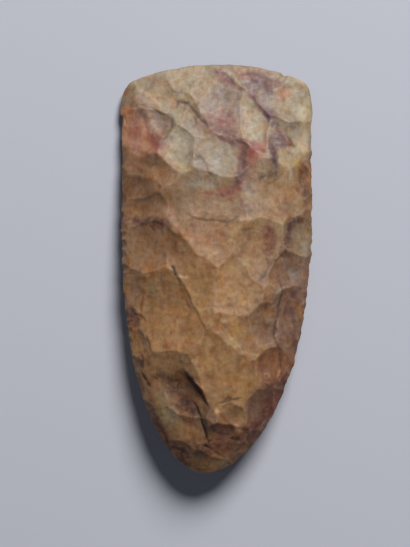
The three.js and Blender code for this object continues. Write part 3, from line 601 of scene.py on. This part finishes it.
def insideOutline(x, y):
    b = blade
    t = np.clip((b["taperStart"] - y) / (b["taperStart"] - b["pollTip"]), 0, 1)
    midline = b["pollDrift"] * t ** 3
    isLeft = x < midline
    draw = np.where(isLeft, b["leftFlank"][0], b["rightFlank"][0])
    roundness = np.where(isLeft, b["leftFlank"][1], b["rightFlank"][1])
    width = b["halfWidth"] * np.maximum(1 - t ** draw, 1e-9) ** (1 / roundness)
    bit = b["bitCrown"] - (x - b["bitCentreX"]) ** 2 / (2 * b["bitRadius"])
    across, along = np.abs(x - midline) / width, np.maximum(y, 0) / bit
    return (across ** b["cornerPower"] + along ** b["cornerPower"] < 1) & (y > b["pollTip"])


# How far the outline is from the middle in each direction
def measureOutline(samples=2880):
    angles = np.linspace(-math.pi, math.pi, samples + 1)
    inside, outside = np.zeros_like(angles), np.full_like(angles, 90.0)
    for halving in range(30):
        middle = (inside + outside) / 2
        isIn = insideOutline(middle * np.cos(angles), middle * np.sin(angles))
        inside, outside = np.where(isIn, middle, inside), np.where(isIn, outside, middle)
    return angles, inside + blade["rimSpare"]


outlineAngles, outlineReaches = measureOutline()


def outlineReach(angle):
    return np.interp(angle, outlineAngles, outlineReaches)


def rimShare(x, y):
    return np.hypot(x, y) / outlineReach(np.arctan2(y, x))


def faceHeight(isTop, x, y):
    face = "top" if isTop else "base"
    bit, middle, poll = blade[face + "Thickness"]
    bitFrom, pollFrom = blade[face + "Changes"]
    end = blade["bladeEnd"]
    bitShare, pollShare = smoothStep(bitFrom, end, y), smoothStep(pollFrom, -end, y)
    thickness = middle + (poll - middle) * pollShare + (bit - middle) * bitShare
    atBlade, atPoll = blade["swell"]
    return thickness * (1 - rimShare(x, y) ** (atBlade + (atPoll - atBlade) * pollShare))


# How far a point lies along and across an oval that is turned by so many degrees, from -1 to 1 inside it
def ovalPlace(x, y, centreX, centreY, turn, halfLength, halfWidth):
    heading = math.radians(turn)
    dx, dy = x - centreX, y - centreY
    along = (dx * math.cos(heading) + dy * math.sin(heading)) / halfLength
    across = (dy * math.cos(heading) - dx * math.sin(heading)) / halfWidth
    return along, across


# The bowl that one flake leaves, the place in it, and whether that is past where the flake broke off
def flakeBowl(scar, x, y):
    centreX, centreY, turn, length, width, depth, stop = scar[:7]
    along, across = ovalPlace(x, y, centreX, centreY, turn, length / 2, width / 2)
    beyond = along > stop
    steepness = blade["stepSteepness"][0 if depth > blade["deepFlake"] else 1]
    u = np.where(beyond, stop + (along - stop) / steepness, along)
    return depth * (1 - u * u - across * across), along, across, beyond


# Distance to a route, which side of it a point lies, and how far along it, from 0 to 1
def followRoute(route, x, y):
    best = np.full(np.shape(x), 1e9)
    side, along = np.zeros_like(best), np.zeros_like(best)
    count = len(route) - 1
    for i in range(count):
        (ax, ay), (bx, by) = route[i], route[i + 1]
        sx, sy = bx - ax, by - ay
        span = sx * sx + sy * sy
        t = np.clip(((x - ax) * sx + (y - ay) * sy) / span, 0, 1)
        distance = np.hypot(x - ax - t * sx, y - ay - t * sy)
        nearer = distance < best
        best = np.where(nearer, distance, best)
        side = np.where(nearer, np.sign(sx * (y - ay) - sy * (x - ax)), side)
        along = np.where(nearer, (i + t) / count, along)
    return best, side, along


def rimPoint(angle):
    reach = float(outlineReach(angle))
    return np.array([reach * math.cos(angle), reach * math.sin(angle)])


def inwardTurn(angle):
    along = rimPoint(angle + 0.02) - rimPoint(angle - 0.02)
    return math.degrees(math.atan2(along[0], -along[1]))


# Chips along the whole edge of one face, each as a scar: where, which way, length, width, depth
def planChips(isTop, plan, steps=1440):
    chips = []
    face = 0 if isTop else 1
    travelled, following, count = 0.0, plan["starts"][face], plan["seeds"][face]
    last = rimPoint(0.0)
    for i in range(1, steps):
        angle = i / steps * 2 * math.pi
        angle = angle if angle < math.pi else angle - 2 * math.pi
        here = rimPoint(angle)
        travelled += float(np.hypot(*(here - last)))
        last = here
        if travelled < following:
            continue
        count += 1
        size = float(np.interp(scatter(count), (0, 1), plan["sizes"]))
        turn = inwardTurn(angle) + plan["swing"] * (float(scatter(count + 0.3)) - 0.5)
        wear = plan["atBit"] if here[1] > 55 else 1
        chips.append((here[0], here[1], turn, plan["length"] * size, plan["width"] * size,
                      plan["depth"] * size * wear, 1))
        following = travelled + plan["spacing"] * float(np.interp(scatter(count + 0.5), (0, 1), plan["gaps"]))
    return chips


chips = {isTop: [chip for plan in retouch.values() for chip in planChips(isTop, plan)]
         for isTop in (True, False)}
for x, y, length, width, depth in edgeBites.values():
    chips[True].append((x, y, inwardTurn(math.atan2(y, x)), length, width, depth, 1))


# How strongly a thin line shows at each point: it thins out at both ends
def lineStrength(route, width, x, y):
    reach = 3 * width
    xs, ys = [point[0] for point in route], [point[1] for point in route]
    near = (x > min(xs) - reach) & (x < max(xs) + reach) & (y > min(ys) - reach) & (y < max(ys) + reach)
    distance, side, along = followRoute(route, x[near], y[near])
    taper = 0.45 + 0.55 * smoothStep(0, 0.2, along) * smoothStep(1, 0.8, along)
    shown = np.zeros_like(x)
    shown[near] = np.exp(-(distance / (width * taper)) ** 2) * (0.3 + 0.7 * taper)
    return shown


# Where a new bowl is the deepest so far, and the deepest and next deepest with it
def deepest(bowl, first, second):
    wins = bowl > first
    return wins, np.where(wins, bowl, first), np.where(wins, first, np.maximum(second, bowl))


# The deepest flake at each point, the next deepest, how far along and across it, and what kind of scar it is
def strikeFlakes(isTop, x, y, wobbleX, wobbleY):
    fadeFrom, keeps = blade["rimFade"]
    thinning = 1 - (1 - keeps) * smoothStep(fadeFrom, 1, rimShare(x, y))
    first, second = np.zeros_like(x), np.full_like(x, -blade["skinGap"])
    travel, across, bank, nibbled = (np.zeros_like(x) for layer in range(4))
    for scar in (topScars if isTop else baseScars).values():
        bowl, along, sideways, beyond = flakeBowl(scar, wobbleX, wobbleY)
        wins, first, second = deepest(bowl * thinning, first, second)
        travel = np.where(wins, (along + 1) * scar[3] / 2, travel)
        across = np.where(wins, sideways * scar[4] / 2 + scar[0], across)
        bank = np.where(wins, beyond * 1.0, bank)
    for chip in chips[isTop]:
        near = np.hypot(x - chip[0], y - chip[1]) < chip[3]
        bowl = np.full_like(x, -1.0)
        bowl[near] = flakeBowl(chip, wobbleX[near], wobbleY[near])[0]
        wins, first, second = deepest(bowl, first, second)
        nibbled = np.where(wins, 1.0, nibbled)
    return first, second, travel, across, bank, nibbled


# How deep the ledges and cracks of the top face cut
def lineDepth(x, y):
    cut = np.zeros_like(x)
    for route, hand, drop, reach in ledges.values():
        distance, side, along = followRoute(route, x, y)
        ends = smoothStep(0, 0.15, along) * smoothStep(1, 0.85, along)
        low = smoothStep(0.25, -0.25, side * hand * distance)
        cut += drop * low * np.exp(-distance / reach) * ends
    for route, width, depth, colour, strength in strokes.values():
        cut += depth * lineStrength(route, width, x, y)
    return cut


# Everything that shapes one face at the given points: its height, and what colours the stone there
def carveFace(isTop, x, y):
    wobbleX, wobbleY = astray(relief["wander"], x, y, (3, 7), 4)
    lineX, lineY = astray(relief["lineWander"], x, y, (51, 57), 3)
    first, second, travel, across, bank, nibbled = strikeFlakes(isTop, x, y, wobbleX, wobbleY)
    hackle = layeredLumps(across, travel / 5, relief["hackles"][1], 27) * smoothStep(0, 2, travel)
    bends = 5 * layeredLumps(x, y, relief["rippleBends"], 13)
    clear = smoothStep(0.05, 0.5, first - second)
    clear = clear * smoothStep(-0.2, 0.6, layeredLumps(x, y, relief["ripplePatches"], 15))
    patchy = 0.4 + 0.6 * smoothStep(-0.3, 0.4, layeredLumps(x, y, relief["facetPatches"], 23))
    patterns = {
        "ripples": np.sin(travel * 2 * math.pi / relief["ripples"][1] + bends) * clear,
        "hackles": hackle,
        "facets": -patchy * facets(wobbleX, wobbleY, relief["facets"][1], 2),
        "smallFacets": -facets(wobbleX, wobbleY, relief["smallFacets"][1], 5),
        "undulation": layeredLumps(x, y, relief["undulation"][1], 11),
        "roughness": layeredLumps(x, y, relief["roughness"][1], 19),
    }
    fine = sum(relief[name][0] * pattern for name, pattern in patterns.items())
    if isTop:
        fine = fine - lineDepth(lineX, lineY)
    inner = 1 - smoothStep(0.9, 1, rimShare(x, y))
    return {"height": faceHeight(isTop, x, y) - first + fine * inner, "bank": bank, "nibbled": nibbled,
            "ridge": np.exp(-(first - second) / blade["ridgeGap"]), "hackle": hackle,
            "lineX": lineX, "lineY": lineY}


# Where the two faces meet, as a share of the outline's reach, in each direction
def measureRim():
    low, high = np.full_like(outlineAngles, 0.85), np.full_like(outlineAngles, 1.02)
    for halving in range(14):
        middle = (low + high) / 2
        x = middle * outlineReaches * np.cos(outlineAngles)
        y = middle * outlineReaches * np.sin(outlineAngles)
        thickness = carveFace(True, x, y)["height"] + carveFace(False, x, y)["height"]
        low, high = np.where(thickness > 0, middle, low), np.where(thickness > 0, high, middle)
    nearest = np.minimum.reduce([np.roll(low, step) for step in (-2, -1, 0, 1, 2)])
    return sum(np.roll(nearest, step) for step in (-1, 0, 1)) / 3


rimShares = measureRim()
print("edge measured, nearest", round(float(rimShares.min()), 3))


def stain(tone, colour, amount):
    tone += np.clip(amount, 0, 1)[:, None] * (colour - tone)


# How colour wanders over the stone, in mm
mottle = {
    "flakeStray": (2.6, 8),  # how far a flake's own colour strays into the next, and over what size of lump
    "stainDrift": (1.3, 4),  # the same for clouds and halos
    "threads": ((3, 71), (2, 77)),  # the size of the net that dark threads make, and its seed
    "threadWidth": 0.13,
    "threadPatches": 3.4,
    "looseThreads": (0.16, 11),  # how strong threads are away from the veins, and the size of their patches
    "patches": 2.4,
    "specks": 1.6,
    "lineBreaks": 1.9,
    "wornPatches": 4,
    "hackleShade": 0.07,
}


# The colour of the stone at each point of one face: its flakes, then clouds, halos, worn ridges and lines,
# with some painted shade, shadow, light and highlight among them
def stoneTone(isTop, x, y, face):
    palette = {name: np.array(srgb(code)) for name, code in stoneColours.items()}
    shiftX, shiftY = astray(mottle["flakeStray"], x, y, (31, 37), 5)
    driftX, driftY = astray(mottle["stainDrift"], x, y, (89, 93), 4)
    tone, weights = np.zeros((x.size, 3)), np.full(x.size, 1e-9)
    for scar in (topScars if isTop else baseScars).values():
        weight = np.exp(np.clip(flakeBowl(scar, shiftX, shiftY)[0] / 0.6, -30, 30))
        tone += weight[:, None] * palette[scar[7]]
        weights += weight
    tone /= weights[:, None]
    tone *= (1 + mottle["hackleShade"] * face["hackle"])[:, None]
    threads = sum(np.exp(-(layeredLumps(x, y, size, seed) / mottle["threadWidth"]) ** 2)
                  for size, seed in mottle["threads"])
    threads = np.clip(threads, 0, 1) * smoothStep(-0.5, 0.3, layeredLumps(x, y, mottle["threadPatches"], 79))
    patchy = 0.55 + 0.6 * (0.62 + 0.55 * layeredLumps(x, y, mottle["patches"], 61, 4))
    specks = 0.4 + 0.8 * smoothStep(-0.3, 0.3, layeredLumps(x, y, mottle["specks"], 67))
    broken = 0.95 + 0.35 * layeredLumps(x, y, mottle["lineBreaks"], 63)
    strength, size = mottle["looseThreads"]
    stain(tone, palette["redBrown"], strength * threads * smoothStep(0, 0.5, layeredLumps(x, y, size, 83)))
    if isTop:
        for cx, cy, across, along, turn, colour, strength in clouds.values():
            near = smoothStep(1.5, 0.2, np.hypot(*ovalPlace(driftX, driftY, cx, cy, turn, across, along)))
            stain(tone, palette[colour], strength * patchy * near)
        for route, reach, colour, strength, threaded in halos.values():
            near = np.exp(-(followRoute(route, driftX, driftY)[0] / reach) ** 2)
            stain(tone, palette[colour], strength * near * specks)
            stain(tone, 0.5 * palette[colour], threaded * near * threads)
        for route, width, *depth, colour, strength in [*arrises.values(), *strokes.values()]:
            shown = lineStrength(route, width, face["lineX"], face["lineY"])
            stain(tone, palette[colour], strength * broken * shown)
    edge = smoothStep(0.975, 0.995, rimShare(x, y))
    stain(tone, palette["cream"], 0.6 * edge * smoothStep(48, 62, y))
    patches = 0.5 + 0.5 * layeredLumps(x, y, mottle["wornPatches"], 43)
    stain(tone, palette["redBrown"], 0.3 * (face["nibbled"] * smoothStep(50, 35, y) * patches))
    return tone


# Two square grids, one for each face, with as many points along the edge of one as of the other
def makeGrids():
    bm = bmesh.new()
    across, along = blade["gridAcross"], blade["gridAlong"]
    bmesh.ops.create_grid(bm, x_segments=across, y_segments=along, size=1,
                          matrix=Matrix.Translation((0, 0, 1)))
    bmesh.ops.create_grid(bm, x_segments=across // 2, y_segments=along // 2, size=1,
                          matrix=Matrix.Translation((0, 0, -1)))
    baseFaces = [face for face in bm.faces if face.verts[0].co.z < 0]
    bmesh.ops.reverse_faces(bm, faces=baseFaces)
    baseRim = [edge for edge in bm.edges if edge.is_boundary and edge.verts[0].co.z < 0]
    bmesh.ops.subdivide_edges(bm, edges=baseRim, cuts=1)
    bmesh.ops.triangulate(bm, faces=[face for face in bm.faces if len(face.verts) > 4])
    mesh = bpy.data.meshes.new("axeHeadStone")
    bm.to_mesh(mesh)
    bm.free()
    return mesh


# Opens the grids out over the two faces, and notes the colour and wear of each point
def shapeStone(mesh):
    places = np.empty(len(mesh.vertices) * 3)
    mesh.vertices.foreach_get("co", places)
    a, b, level = places.reshape(-1, 3).T
    u, v = a * np.sqrt(1 - b * b / 2), b * np.sqrt(1 - a * a / 2)
    angle = np.arctan2(v * blade["bitCrown"], u * blade["halfWidth"])
    isRim = np.maximum(np.abs(a), np.abs(b)) > 1 - 1e-5
    share = np.where(isRim, 1, np.minimum(np.hypot(u, v), 1))
    share = share * (1 - share ** 8 * (1 - np.interp(angle, outlineAngles, rimShares)))
    reach = share * outlineReach(angle)
    x, y = reach * np.cos(angle), reach * np.sin(angle)

    top, base = carveFace(True, x, y), carveFace(False, x, y)
    isTop = level > 0
    restLevel = -(blade["baseThickness"][1] - blade["restDepth"])
    rise = -blade["edgeRise"] * y
    z = np.where(isTop, top["height"] + rise, np.maximum(rise - base["height"], restLevel))
    z = np.where(isRim, rise + (top["height"] - base["height"]) / 2, z)
    placed = np.stack([x, y, z], axis=1)
    lowest, highest = placed.min(axis=0), placed.max(axis=0)
    cadLow, cadHigh = np.array(axeBox[0]) / mm, np.array(axeBox[1]) / mm
    shift = (cadLow + cadHigh) / 2 - (lowest + highest) / 2
    shift[2] = cadLow[2] - lowest[2]
    mesh.vertices.foreach_set("co", ((placed + shift) * mm).ravel())

    # the bank attribute is scaled by bankShade: painted shade, with soil, on the walls of steps
    for name, share in (("ridge", 1), ("bank", blade["bankShade"])):
        layer = mesh.attributes.new(name, "FLOAT", "POINT")
        values = share * np.where(isTop, top[name], base[name])
        layer.data.foreach_set("value", values.astype(np.float32))
    tone = np.where(isTop[:, None], stoneTone(True, x, y, top), stoneTone(False, x, y, base))
    layer = mesh.attributes.new("stoneTone", "FLOAT_COLOR", "POINT")
    layer.data.foreach_set("color", np.c_[tone, np.ones(len(tone))].astype(np.float32).ravel())


def addObject(name, data):
    piece = bpy.data.objects.new(name, data)
    bpy.context.collection.objects.link(piece)
    return piece


def buildAxe():
    mesh = makeGrids()
    shapeStone(mesh)
    bm = bmesh.new()
    bm.from_mesh(mesh)
    bmesh.ops.remove_doubles(bm, verts=bm.verts, dist=0.004 * mm)
    bmesh.ops.recalc_face_normals(bm, faces=bm.faces)
    openEdges = sum(1 for edge in bm.edges if not edge.is_manifold)
    for face in bm.faces:
        face.smooth = True
    bm.to_mesh(mesh)
    print("axe head built:", len(bm.verts), "points,", sum(len(f.verts) - 2 for f in bm.faces), "triangles,",
          openEdges, "open edges")
    bm.free()
    return addObject("axeHead", mesh)


# One shader node, with its settings and what feeds it
def addNode(tree, kind, settings=None, feeds=None):
    node = tree.nodes.new(kind)
    for key, value in (settings or {}).items():
        if isinstance(key, str) and hasattr(node, key):
            setattr(node, key, value)
        else:
            node.inputs[key].default_value = value
    for key, socket in (feeds or {}).items():
        tree.links.new(socket, node.inputs[key])
    return node


# Layers of mottling, in order: how each is laid on, the size of its pattern in mm, how far it is drawn out
# along the axe, the part of the noise that shows, how strongly, and its colour
stoneLayers = {
    "warmClouds": ("MULTIPLY", 7, 1, (0.42, 0.7), 0.75, "#f6d8bc"),
    "coolClouds": ("MULTIPLY", 5, 1, (0.46, 0.7), 0.75, "#d6dae6"),
    "yellowPatches": ("MULTIPLY", 3.4, 1, (0.45, 0.68), 0.8, "#fff0c4"),
    "rustMottle": ("MULTIPLY", 2.2, 1, (0.5, 0.7), 0.7, "#e4b9a0"),
    "greyMottle": ("MULTIPLY", 1.7, 1, (0.48, 0.7), 0.55, "#c6c6cc"),
    "streaks": ("MULTIPLY", 1.2, 0.3, (0.48, 0.72), 0.45, "#cdb9a8"),
    "flecks": ("SCREEN", 1.4, 1, (0.5, 0.75), 0.07, "#e0cdb0"),
}

# Finer patterns: the size in mm, how many layers, and a seed of its own
stoneGrain = {
    "wear": (3, 3, 11),
    "sheen": (2, 4, 12),
    "pits": (0.55, 5, 13),
}

stoneFinish = {
    "ior": 1.54,  # of quartz
    "roughness": (0.48, 0.68),
    "pitDepth": 0.12,
    "pitStrength": 0.45,
    "wornColour": "#c8ab88",
    "wornStrength": 0.35,
    "bankShadeAndSoilColour": "#3a281c",
}


# Flaked chert, weathered: dull to slightly waxy, mottled, with banks darkened by painted shade and soil, and
# pale worn ridges
def makeChert():
    material = bpy.data.materials.new("flakedChert")
    material.use_nodes = True
    tree = material.node_tree
    tree.nodes.clear()
    place = addNode(tree, "ShaderNodeTexCoord").outputs["Object"]
    marks = {name: addNode(tree, "ShaderNodeAttribute", {"attribute_name": name}).outputs
             for name in ("stoneTone", "ridge", "bank")}
    colour = marks["stoneTone"]["Color"]
    for seed, (blend, size, drawnOut, shows, strength, tint) in enumerate(stoneLayers.values()):
        grain = addNode(tree, "ShaderNodeMapping", {"Scale": (1, drawnOut, 1)}, {"Vector": place})
        noise = addNode(tree, "ShaderNodeTexNoise", {"noise_dimensions": "4D", "Scale": 1 / (size * mm),
                                                     "Detail": 4, "W": seed}, {"Vector": grain.outputs[0]})
        amount = addNode(tree, "ShaderNodeMapRange", {"From Min": shows[0], "From Max": shows[1],
                                                      "To Max": strength}, {"Value": noise.outputs["Fac"]})
        layer = addNode(tree, "ShaderNodeMix", {"data_type": "RGBA", "blend_type": blend,
                                                7: (*srgb(tint), 1)},
                        {0: amount.outputs["Result"], 6: colour})
        colour = layer.outputs[2]
    grains = {name: addNode(tree, "ShaderNodeTexNoise", {"noise_dimensions": "4D", "Scale": 1 / (size * mm),
                                                         "Detail": layers, "W": seed},
                            {"Vector": place}).outputs["Fac"]
              for name, (size, layers, seed) in stoneGrain.items()}
    wear = addNode(tree, "ShaderNodeMapRange", {"From Min": 0.42, "From Max": 0.7,
                                                "To Max": stoneFinish["wornStrength"]},
                   {"Value": grains["wear"]})
    worn = addNode(tree, "ShaderNodeMath", {"operation": "MULTIPLY"},
                   {0: marks["ridge"]["Fac"], 1: wear.outputs["Result"]})
    paler = addNode(tree, "ShaderNodeMix", {"data_type": "RGBA", 7: (*srgb(stoneFinish["wornColour"]), 1)},
                    {0: worn.outputs[0], 6: colour})
    # painted shade, with soil, darkens the banks
    darker = addNode(tree, "ShaderNodeMix", {"data_type": "RGBA", 7: (*srgb(stoneFinish["bankShadeAndSoilColour"]), 1)},
                     {0: marks["bank"]["Fac"], 6: paler.outputs[2]})
    waxy, dull = stoneFinish["roughness"]
    rough = addNode(tree, "ShaderNodeMapRange", {"From Min": 0.3, "From Max": 0.7,
                                                 "To Min": waxy, "To Max": dull},
                    {"Value": grains["sheen"]})
    bump = addNode(tree, "ShaderNodeBump", {"Strength": stoneFinish["pitStrength"],
                                            "Distance": stoneFinish["pitDepth"] * mm},
                   {"Height": grains["pits"]})
    shader = addNode(tree, "ShaderNodeBsdfPrincipled", {"IOR": stoneFinish["ior"], "Metallic": 0},
                     {"Base Color": darker.outputs[2], "Roughness": rough.outputs["Result"],
                      "Normal": bump.outputs["Normal"]})
    addNode(tree, "ShaderNodeOutputMaterial", None, {"Surface": shader.outputs["BSDF"]})
    return material


paper = {"colour": "#babfcd", "roughness": 0.9, "gloss": 0.2}


# Plain pale blue-grey paper under the axe
def makeFloor():
    bm = bmesh.new()
    bmesh.ops.create_grid(bm, x_segments=1, y_segments=1, size=1.5)
    mesh = bpy.data.meshes.new("floor")
    bm.to_mesh(mesh)
    bm.free()
    material = bpy.data.materials.new("paleMattPaper")
    material.use_nodes = True
    shader = material.node_tree.nodes["Principled BSDF"]
    shader.inputs["Base Color"].default_value = (*srgb(paper["colour"]), 1)
    shader.inputs["Roughness"].default_value = paper["roughness"]
    shader.inputs["Specular IOR Level"].default_value = paper["gloss"]
    mesh.materials.append(material)
    addObject("floor", mesh)


lights = {
    "key": {"from": (0.37, 0.93, 0.86), "distance": 2, "size": 1, "power": 56, "colour": "#fffaf4"},
    "fill": {"from": (-0.5, -0.3, 1.5), "distance": 2, "size": 1.6, "power": 2, "colour": "#e8eefc"},
}
sky = {"colour": "#dfe4f0", "strength": 0.05}


def addLights():
    for name, light in lights.items():
        data = bpy.data.lights.new(name, "AREA")
        data.shape = "DISK"
        data.size = light["size"]
        data.energy = light["power"]
        data.color = srgb(light["colour"])
        lamp = addObject(name, data)
        direction = Vector(light["from"]).normalized()
        lamp.location = direction * light["distance"]
        lamp.rotation_euler = direction.to_track_quat("Z", "Y").to_euler()
    world = bpy.data.worlds.new("studio")
    bpy.context.scene.world = world
    world.use_nodes = True
    background = world.node_tree.nodes["Background"]
    background.inputs["Color"].default_value = (*srgb(sky["colour"]), 1)
    background.inputs["Strength"].default_value = sky["strength"]


# Straight above, a little left of and below the middle of the axe
view = {"height": 0.8, "offset": (-4.2, -2.3), "tallMm": 201.1, "edgeLevelMm": 7.3}


def addCamera():
    data = bpy.data.cameras.new("camera")
    data.sensor_fit = "VERTICAL"
    data.sensor_height = 24
    data.lens = data.sensor_height / 2 / (view["tallMm"] * mm / 2 / view["height"])
    camera = addObject("camera", data)
    x, y = view["offset"]
    camera.location = (x * mm, y * mm, view["height"] + view["edgeLevelMm"] * mm)
    bpy.context.scene.camera = camera


bpy.context.scene.view_settings.view_transform = "Standard"
addCamera()
addLights()
makeFloor()
print("studio ready")

axeHead = buildAxe()
axeHead.data.materials.append(makeChert())
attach(axeHead, "root")
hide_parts("axe_head")
print("stone finished")
